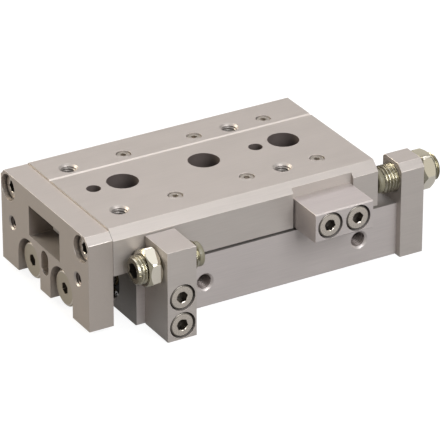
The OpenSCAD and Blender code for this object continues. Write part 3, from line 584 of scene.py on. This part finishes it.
class SLIDE_OT_machined_blocks(bpy.types.Operator):
    """Eases the edges of the body, table, end plate, stopper block and brackets and gives them
    their finish, with painted shade in their holes, under the table's skirt, where the table meets
    the end plate, on the plate's sides and on the body's ends and top, and painted highlights on
    upward eased edges and in the table's lengthwise V-cut."""

    bl_idname = "slide.machined_blocks"
    bl_label = "Machined Blocks"

    def execute(self, context):
        for name in ("body_block", "table", "end_plate", "stopper_block", "front_adjuster_bracket",
                     "rear_adjuster_bracket"):
            main = "extruded" if name in ("body_block", "stopper_block") else "anodised"
            obj = dress(name, sizes().edge, slots=(main,) + BLOCK_SLOTS)
            drilled = HOLES.get(name, [])
            # the holes run along this axis and open at this end of it
            way = {"table": 2, "body_block": 1}.get(name, 0)
            u, v = [k for k in range(3) if k != way]
            mouth = max((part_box(name)[0][way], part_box(name)[1][way]), key=abs)
            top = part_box(name)[1]
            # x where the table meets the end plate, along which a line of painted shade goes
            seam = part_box("table")[0].x

            def near_hole(c, margin=0.0):
                return any(math.hypot(c[u] - h[u], c[v] - h[v]) < r + margin for h, r in drilled)

            for p in obj.data.polygons:
                c, n = p.center, p.normal
                eased = p.material_index == EDGE
                # upward eased faces get painted highlight, or painted shade on the body and where
                # the table meets the end plate
                upper = eased and n.z > 0.1
                in_hole = (abs(n[way]) <= 0.3 and abs(c[way] - mouth) >= 0.3 * MM and
                           near_hole(c))
                # gap: eased faces under the table's skirt and along the body's top, which get
                # painted shade
                gap = (upper and name == "body_block") or (eased and name == "table" and
                                                           n.z < -0.1)
                # the sloping wall of the table's lengthwise V-cut, which gets painted highlight
                groove_highlight = (name == "table" and 0.3 < n.z < 0.9 and abs(c.y) < top.y - 4 * MM and
                          c.z > top.z - 2 * MM)
                # painted shade on the walls of holes
                if in_hole:
                    p.material_index = HOLE_SHADE
                # painted shade in the gap under the skirt and where the table meets the end plate
                elif gap or (upper and abs(c.x - seam) < 0.4 * MM):
                    p.material_index = SEAM_SHADE
                elif near_hole(c, 0.6 * MM):
                    p.material_index = MAIN
                # painted highlight on upward eased edges and the V-cut's wall
                elif groove_highlight or upper:
                    p.material_index = EDGE
                # painted shade on the body's end faces and top
                elif name == "body_block" and (abs(n.x) > 0.9 or n.z > 0.9):
                    p.material_index = BODY_SHADE
                # painted shade on the end plate's sides
                elif name == "end_plate" and n.z < 0.5:
                    p.material_index = PLATE_SIDE_SHADE
                else:
                    p.material_index = MAIN
            seat(obj, name, finished=True)
        return {"FINISHED"}


class SLIDE_OT_guide_parts(bpy.types.Operator):
    """Eases the edges of the guide block and its end plates, the rails and their stops, the
    cages, and the cylinders' rods, collars, pistons, covers, caps and rings."""

    bl_idname = "slide.guide_parts"
    bl_label = "Guide Parts"

    def execute(self, context):
        for name in ("guide_block", "table_rails", "guide_end_plates", "rail_end_stops",
                     "piston_rods", "rod_collars", "rod_covers", "head_caps", "snap_rings",
                     "roller_cages", "pistons"):
            seat(dress(name, sizes().small_edge, segments=1), name)
        return {"FINISHED"}


class SLIDE_OT_sealed_parts(bpy.types.Operator):
    """Gives the seals, magnets, rollers and inner screws their finish."""

    bl_idname = "slide.sealed_parts"
    bl_label = "Sealed Parts"

    def execute(self, context):
        for name in ("rod_seals", "cover_o_rings", "head_cap_o_rings", "guide_screws",
                     "guide_end_screws", "crossed_rollers", "piston_seals", "piston_magnets",
                     "piston_bumpers"):
            obj = frame["nodes"][name]
            obj.data.materials.clear()
            obj.data.materials.append(finishes()[SLOT_OF[name]])
        return {"FINISHED"}


class SLIDE_OT_cap_screws(bpy.types.Operator):
    """Models the M4 cap screws of the end plate, the brackets and the stopper block."""

    bl_idname = "slide.cap_screws"
    bl_label = "Cap Screws"

    def execute(self, context):
        head, height, flats, shank, rim = 7 * MM, 4 * MM, 3 * MM, 4 * MM, 0.42 * MM
        r = head / 2

        def m4_set(name, towards, centres):
            screw_set(name, head, height, flats, shank, towards, centres, rim)

        low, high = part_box("plate_screws")
        z = (low.z + high.z) / 2
        m4_set("plate_screws", (-1, 0, 0), [(0, low.y + r, z), (0, high.y - r, z)])
        low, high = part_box("front_bracket_screws")
        x = (low.x + high.x) / 2
        m4_set("front_bracket_screws", (0, -1, 0), [(x, 0, low.z + r), (x, 0, high.z - r)])
        low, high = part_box("stopper_screws")
        z = (low.z + high.z) / 2
        m4_set("stopper_screws", (0, -1, 0), [(low.x + r, 0, z), (high.x - r, 0, z)])
        low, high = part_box("rear_bracket_screws")
        y = (low.y + high.y) / 2
        m4_set("rear_bracket_screws", (1, 0, 0), [(0, y, low.z + r), (0, y, high.z - r)])
        return {"FINISHED"}


class SLIDE_OT_rail_screws(bpy.types.Operator):
    """Models the six small screws that hold the rails, sunk in the table's top."""

    bl_idname = "slide.rail_screws"
    bl_label = "Rail Screws"

    def execute(self, context):
        head, height = 3.9 * MM, 1.8 * MM
        low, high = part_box("rail_screws")
        xs = [low.x + head / 2, (low.x + high.x) / 2, high.x - head / 2]
        ys = [low.y + head / 2, high.y - head / 2]
        centres = [(x, y, 0) for x in xs for y in ys]
        screw_set("rail_screws", head, height, 1.5 * MM, 2.5 * MM, (0, 0, 1), centres, 0.25 * MM,
                  "rail_screw", "rail_screw")
        return {"FINISHED"}


class SLIDE_OT_rod_end_bolts(bpy.types.Operator):
    """Eases the wide flat heads of the two rod end bolts."""

    bl_idname = "slide.rod_end_bolts"
    bl_label = "Rod End Bolts"

    def execute(self, context):
        low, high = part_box("rod_end_bolts")
        radius = (high.z - low.z) / 2
        rods = (low.y + radius, high.y - radius)
        height = (low.z + high.z) / 2
        head, socket = 0, 1
        # the eased edges get the lighter screw steel; those left on the heads' outer rims are
        # painted highlight
        obj = dress("rod_end_bolts", sizes().edge, slots=("rod_end", "socket", "screw_steel"))
        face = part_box("rod_end_bolts")[0].x
        for p in obj.data.polygons:
            c = p.center
            out = min(math.hypot(c.y - y, c.z - height) for y in rods)
            # painted shade in the sockets
            if abs(p.normal.x) < 0.3 and c.x < face + 3 * MM and out < 2.2 * MM:
                p.material_index = socket
            elif out < 3.5 * MM or c.x > face + 1 * MM:
                p.material_index = head
        seat(obj, "rod_end_bolts", finished=True)
        return {"FINISHED"}


class SLIDE_OT_lock_nuts(bpy.types.Operator):
    """Models the two lock nuts with bevelled corners and rounded, plated edges."""

    bl_idname = "slide.lock_nuts"
    bl_label = "Lock Nuts"

    def execute(self, context):
        for name, screw in (("front_lock_nut", "front_adjuster_bolt"),
                            ("rear_lock_nut", "rear_adjuster_bolt")):
            low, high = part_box(name)
            size = high - low
            flats, thick = min(size.y, size.z), size.x
            corner = flats / math.sqrt(3)
            bpy.ops.mesh.primitive_cylinder_add(vertices=6, radius=corner, depth=thick,
                                                end_fill_type="NGON")
            nut = bpy.context.active_object
            edit(nut, "EDGE", lambda a, b: abs(a.z - b.z) > thick * 0.5)
            bpy.ops.mesh.bevel(offset=0.45 * MM, segments=5, affect="EDGES")
            bpy.ops.object.mode_set(mode="OBJECT")
            bpy.ops.mesh.primitive_cylinder_add(vertices=96, radius=corner, depth=thick,
                                                end_fill_type="NGON")
            turned = bpy.context.active_object
            edit(turned, "EDGE", lambda a, b: abs(a.z - b.z) < LEVEL)
            bpy.ops.mesh.bevel(offset=corner - flats * 0.475, segments=1, affect="EDGES")
            bpy.ops.object.mode_set(mode="OBJECT")
            cut(nut, turned, "INTERSECT")
            bore = (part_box(screw)[1].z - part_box(screw)[0].z) / 2 + 0.05 * MM
            bpy.ops.mesh.primitive_cylinder_add(vertices=96, radius=bore, depth=thick * 2)
            cut(nut, bpy.context.active_object)
            apply(nut, "BEVEL", width=0.09 * MM, segments=2, limit_method="ANGLE",
                  angle_limit=math.radians(32), use_clamp_overlap=True)
            turn = Matrix.Rotation(math.radians(0 if size.y > size.z else 90), 4, "X")
            # the chamfers get the dull zinc finish: painted shade on faces of the same bright
            # plating
            two_tone(nut, "bright_steel", "adjuster", lambda c, n: 0.15 < abs(n.z) < 0.97)
            settle(nut, Matrix.Translation((low + high) / 2) @ turn @
                   Matrix.Rotation(math.radians(90), 4, "Y"))
            apply(nut, "WEIGHTED_NORMAL", keep_sharp=True, weight=60)
            nut.name = name + "_modelled"
            seat(nut, name, finished=True)
        return {"FINISHED"}


class SLIDE_OT_adjusters(bpy.types.Operator):
    """Models the two threaded adjuster screws and their tips."""

    bl_idname = "slide.adjusters"
    bl_label = "Adjuster Screws"

    def execute(self, context):
        for name, bumper, way in (("front_adjuster_bolt", "front_bumper", (-1, 0, 0)),
                                  ("rear_adjuster_bolt", "rear_bumper", (1, 0, 0))):
            low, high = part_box(name)
            radius = (high.z - low.z) / 2
            length = high.x - low.x
            pitch = sizes().adjuster_pitch
            root = radius - 0.58 * pitch
            steps = sizes().thread_steps
            # blank with chamfered ends, used to trim the coil
            bpy.ops.mesh.primitive_cylinder_add(vertices=steps * 2, radius=radius, depth=length,
                                                location=(0, 0, length / 2))
            blank = bpy.context.active_object
            bpy.ops.object.transform_apply(location=True)
            edit(blank, "EDGE", lambda a, b: abs(a.z - b.z) < LEVEL)
            bpy.ops.mesh.bevel(offset=0.5 * MM, segments=1, affect="EDGES")
            bpy.ops.object.mode_set(mode="OBJECT")
            coil = thread_coil("coil", root - 0.03 * MM, radius, pitch, length + pitch, steps)
            settle(coil, Matrix.Translation((0, 0, -pitch / 2)))
            cut(coil, blank, "INTERSECT")
            bpy.ops.mesh.primitive_cylinder_add(vertices=steps * 2, radius=root, depth=length,
                                                location=(0, 0, length / 2))
            core = bpy.context.active_object
            bpy.ops.object.transform_apply(location=True)
            edit(core, "EDGE", lambda a, b: abs(a.z - b.z) < LEVEL)
            bpy.ops.mesh.bevel(offset=0.12 * MM, segments=2, affect="EDGES")
            bpy.ops.object.mode_set(mode="OBJECT")
            tool, cone = hex_socket(4 * MM, 3.4 * MM, 2.25 * MM)
            for t in (tool, cone):
                t.location.z += length
            cut(core, tool)
            cut(core, cone)
            # painted shade in the hex socket
            two_tone(core, "adjuster", "socket", lambda c, n:
                     length - 5 * MM < c.z < length - 0.15 * MM and
                     math.hypot(c.x, c.y) < 2.4 * MM)
            # painted shade on the screw's end face
            core.data.materials.append(finishes()["adjuster_end"])
            end = len(core.data.materials) - 1
            for p in core.data.polygons:
                if p.center.z > length - 0.2 * MM and p.normal.z > 0.3:
                    p.material_index = end
            # painted shade on the coil's end faces
            two_tone(coil, "adjuster", "adjuster_end",
                     lambda c, n: c.z > length - 0.3 * MM and n.z > 0.5)
            middle = Vector(((low.x + high.x) / 2, (low.y + high.y) / 2, (low.z + high.z) / 2))
            start = middle - Vector(way) * length / 2
            for o in (coil, core):
                settle(o, aim(start, way), angle=40)
            seat(joined([core, coil], name + "_modelled"), name, finished=True)
            seat(dress(bumper, sizes().small_edge), bumper)
        return {"FINISHED"}


class SLIDE_OT_tapped_threads(bpy.types.Operator):
    """Models the thread coils in the table, the end plate, the air ports and the base."""

    bl_idname = "slide.tapped_threads"
    bl_label = "Tapped Threads"

    def execute(self, context):
        steps = sizes().thread_steps

        def tapped(name, mount_names, pitch, length, owner, past=0.0, tone="thread"):
            pieces = []
            for m in frame["record"]["mounts"]:
                if m["name"] not in mount_names:
                    continue
                axis = Vector(m["axis"])
                for p, r in mount_holes([m["name"]]):
                    r -= HOLE_MARGIN
                    coil = thread_coil(name, r + 0.02 * MM, r - 0.36 * pitch, pitch, length,
                                       steps)
                    settle(coil, aim(p - axis * (length - past), axis), angle=40)
                    pieces.append(coil)
            obj = joined(pieces, name)
            obj.data.materials.clear()
            obj.data.materials.append(finishes()[tone])
            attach(obj, BODY_OF[owner])

        s = sizes()
        # the table and base coils get a darker finish, painted shade for their holes
        tapped("table_thread_coils", ["table_threads"], s.m5_pitch, 3.8 * MM, "table")
        tapped("base_thread_coils", ["base_threads"], s.m5_pitch, 7.3 * MM, "body_block")
        # the port and end plate coils get painted shade for their holes
        tapped("port_thread_coils", ["air_port_front", "air_port_rear"], s.m5_pitch, 4.8 * MM,
               "body_block", 2.2 * MM, "bore")
        tapped("plate_thread_coils", ["plate_threads"], s.m4_pitch, 6.4 * MM, "end_plate",
               tone="bore")
        return {"FINISHED"}


class SLIDE_OT_stage(bpy.types.Operator):
    """Sets the plain pale floor, the soft lamps, the world and the camera."""

    bl_idname = "slide.stage"
    bl_label = "Stage"

    def execute(self, context):
        scene = context.scene
        st = scene.slide_studio
        clear_selection()
        bpy.ops.mesh.primitive_plane_add(size=6, location=(0, 0, -0.05 * MM))
        floor = bpy.context.active_object
        floor.name = "floor"
        mat = bpy.data.materials.new("pale floor")
        mat.use_nodes = True
        tree = mat.node_tree
        shader = tree.nodes["Principled BSDF"]
        shader.inputs["Roughness"].default_value = 0.9
        shader.inputs["Specular IOR Level"].default_value = 0.1
        coords = node(tree, "ShaderNodeTexCoord", (-900, 0))
        noise = node(tree, "ShaderNodeTexNoise", (-700, 0), Scale=8.0, Detail=2.0)
        tint = node(tree, "ShaderNodeMix", (-400, 0))
        tint.data_type = "RGBA"
        tint.inputs["A"].default_value = [c * 0.99 for c in st.floor] + [1]
        tint.inputs["B"].default_value = [min(1, c * 1.01) for c in st.floor] + [1]
        tree.links.new(coords.outputs["Object"], noise.inputs["Vector"])
        tree.links.new(noise.outputs["Fac"], tint.inputs["Factor"])
        tree.links.new(tint.outputs["Result"], shader.inputs["Base Color"])
        # the floor glows for the camera and, less, in reflections, so that it reads as white
        # but keeps the shadow
        rays = node(tree, "ShaderNodeLightPath", (-400, -400))
        seen = node(tree, "ShaderNodeMath", (-200, -300), _1=st.glow)
        shown = node(tree, "ShaderNodeMath", (-200, -500), _1=st.sheen)
        glow = node(tree, "ShaderNodeMath", (0, -400))
        seen.operation = shown.operation = "MULTIPLY"
        tree.links.new(rays.outputs["Is Camera Ray"], seen.inputs[0])
        tree.links.new(rays.outputs["Is Glossy Ray"], shown.inputs[0])
        tree.links.new(seen.outputs[0], glow.inputs[0])
        tree.links.new(shown.outputs[0], glow.inputs[1])
        shader.inputs["Emission Color"].default_value = (1, 1, 1, 1)
        tree.links.new(glow.outputs[0], shader.inputs["Emission Strength"])
        floor.data.materials.append(mat)

        def lamp(name, place, size, power, colour):
            bpy.ops.object.light_add(type="AREA", location=place)
            o = bpy.context.active_object
            o.name = name
            o.data.shape = "RECTANGLE"
            o.data.size, o.data.size_y = size
            o.data.energy = power
            o.data.color = colour
            towards = Vector((0, 0, 0.01)) - Vector(place)
            o.rotation_euler = towards.to_track_quat("-Z", "Y").to_euler()

        lamp("key", (0.08, -0.80, 0.54), (0.6, 0.6), st.key, (0.97, 0.98, 1.0))
        lamp("side", (-0.52, 0.60, 0.42), (0.5, 0.5), st.side, (1.0, 0.91, 0.77))
        lamp("top", (0.20, 0.50, 0.90), (0.7, 0.7), st.top, (0.93, 0.91, 1.0))

        world = bpy.data.worlds.new("plain studio")
        scene.world = world
        world.use_nodes = True
        tree = world.node_tree
        tree.nodes.clear()
        out = node(tree, "ShaderNodeOutputWorld", (800, 0))
        light = node(tree, "ShaderNodeBackground", (200, 200), Color=(1.0, 0.99, 0.97, 1),
                     Strength=st.world)
        white = node(tree, "ShaderNodeBackground", (200, 0), Color=(1, 1, 1, 1), Strength=1.0)
        # reflections show the white backdrop, a dim gap above it and a white ceiling
        ceiling = node(tree, "ShaderNodeBackground", (200, -200), Strength=1.0)
        coords = node(tree, "ShaderNodeTexCoord", (-600, -200))
        parts = node(tree, "ShaderNodeSeparateXYZ", (-400, -200))
        fade = node(tree, "ShaderNodeValToRGB", (-200, -200))
        ramp = fade.color_ramp
        low, high = st.gap_low, st.gap_high
        haze, dim = tuple(st.horizon) + (1,), (st.gap, st.gap, st.gap, 1)
        for at, colour in ((0.0, haze), (low - 0.01, haze), (low + 0.01, dim), (high - 0.03, dim)):
            stop = ramp.elements[0] if at == 0 else ramp.elements.new(at)
            stop.position, stop.color = at, colour
        last = ramp.elements[-1]
        last.position, last.color = high + 0.03, (1, 1, 1, 1)
        rays = node(tree, "ShaderNodeLightPath", (-200, 300))
        either = node(tree, "ShaderNodeMath", (0, 300))
        either.operation = "MAXIMUM"
        seen = node(tree, "ShaderNodeMixShader", (400, 100))
        shown = node(tree, "ShaderNodeMixShader", (600, 0))
        link = tree.links.new
        link(coords.outputs["Generated"], parts.inputs[0])
        link(parts.outputs["Z"], fade.inputs["Fac"])
        link(fade.outputs["Color"], ceiling.inputs["Color"])
        link(rays.outputs["Is Camera Ray"], either.inputs[0])
        link(rays.outputs["Is Transmission Ray"], either.inputs[1])
        link(either.outputs[0], seen.inputs[0])
        link(light.outputs[0], seen.inputs[1])
        link(white.outputs[0], seen.inputs[2])
        link(rays.outputs["Is Glossy Ray"], shown.inputs[0])
        link(seen.outputs[0], shown.inputs[1])
        link(ceiling.outputs[0], shown.inputs[2])
        link(shown.outputs[0], out.inputs["Surface"])

        bpy.ops.object.camera_add()
        cam = bpy.context.active_object
        cam.name = "camera"
        cam.data.lens = st.lens
        cam.data.sensor_width = 36
        cam.data.clip_start, cam.data.clip_end = 0.05, 20
        a, e = st.azimuth, st.elevation
        forward = Vector((math.cos(e) * math.sin(a), math.cos(e) * math.cos(a), -math.sin(e)))
        cam.location = Vector(st.target) - forward * st.distance
        cam.rotation_euler = forward.to_track_quat("-Z", "Y").to_euler()
        scene.camera = cam
        scene.view_settings.view_transform = "Standard"
        return {"FINISHED"}


STEPS = (SLIDE_OT_machined_blocks, SLIDE_OT_guide_parts, SLIDE_OT_sealed_parts, SLIDE_OT_cap_screws,
         SLIDE_OT_rail_screws, SLIDE_OT_rod_end_bolts, SLIDE_OT_lock_nuts, SLIDE_OT_adjusters,
         SLIDE_OT_tapped_threads, SLIDE_OT_stage)


class SLIDE_PT_panel(bpy.types.Panel):
    """Lists the steps that dress the slide table."""

    bl_label = "Slide Table"
    bl_idname = "SLIDE_PT_panel"
    bl_space_type = "VIEW_3D"
    bl_region_type = "UI"
    bl_category = "Slide Table"

    def draw(self, context):
        for step in STEPS:
            self.layout.operator(step.bl_idname)
        scene = context.scene
        for group in (scene.slide_sizes, scene.slide_finish, scene.slide_studio):
            box = self.layout.box()
            for key in group.__annotations__:
                box.prop(group, key)


CLASSES = (SlideTableSizes, SlideTableFinish, SlideTableStudio) + STEPS + (SLIDE_PT_panel,)


def register():
    for c in CLASSES:
        bpy.utils.register_class(c)
    bpy.types.Scene.slide_sizes = PointerProperty(type=SlideTableSizes)
    bpy.types.Scene.slide_finish = PointerProperty(type=SlideTableFinish)
    bpy.types.Scene.slide_studio = PointerProperty(type=SlideTableStudio)


def unregister():
    del bpy.types.Scene.slide_sizes
    del bpy.types.Scene.slide_finish
    del bpy.types.Scene.slide_studio
    for c in reversed(CLASSES):
        bpy.utils.unregister_class(c)


def main():
    register()
    clear_selection()
    for step in STEPS:
        group, name = step.bl_idname.split(".")
        getattr(getattr(bpy.ops, group), name)()
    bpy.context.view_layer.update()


if __name__ == "__main__":
    main()
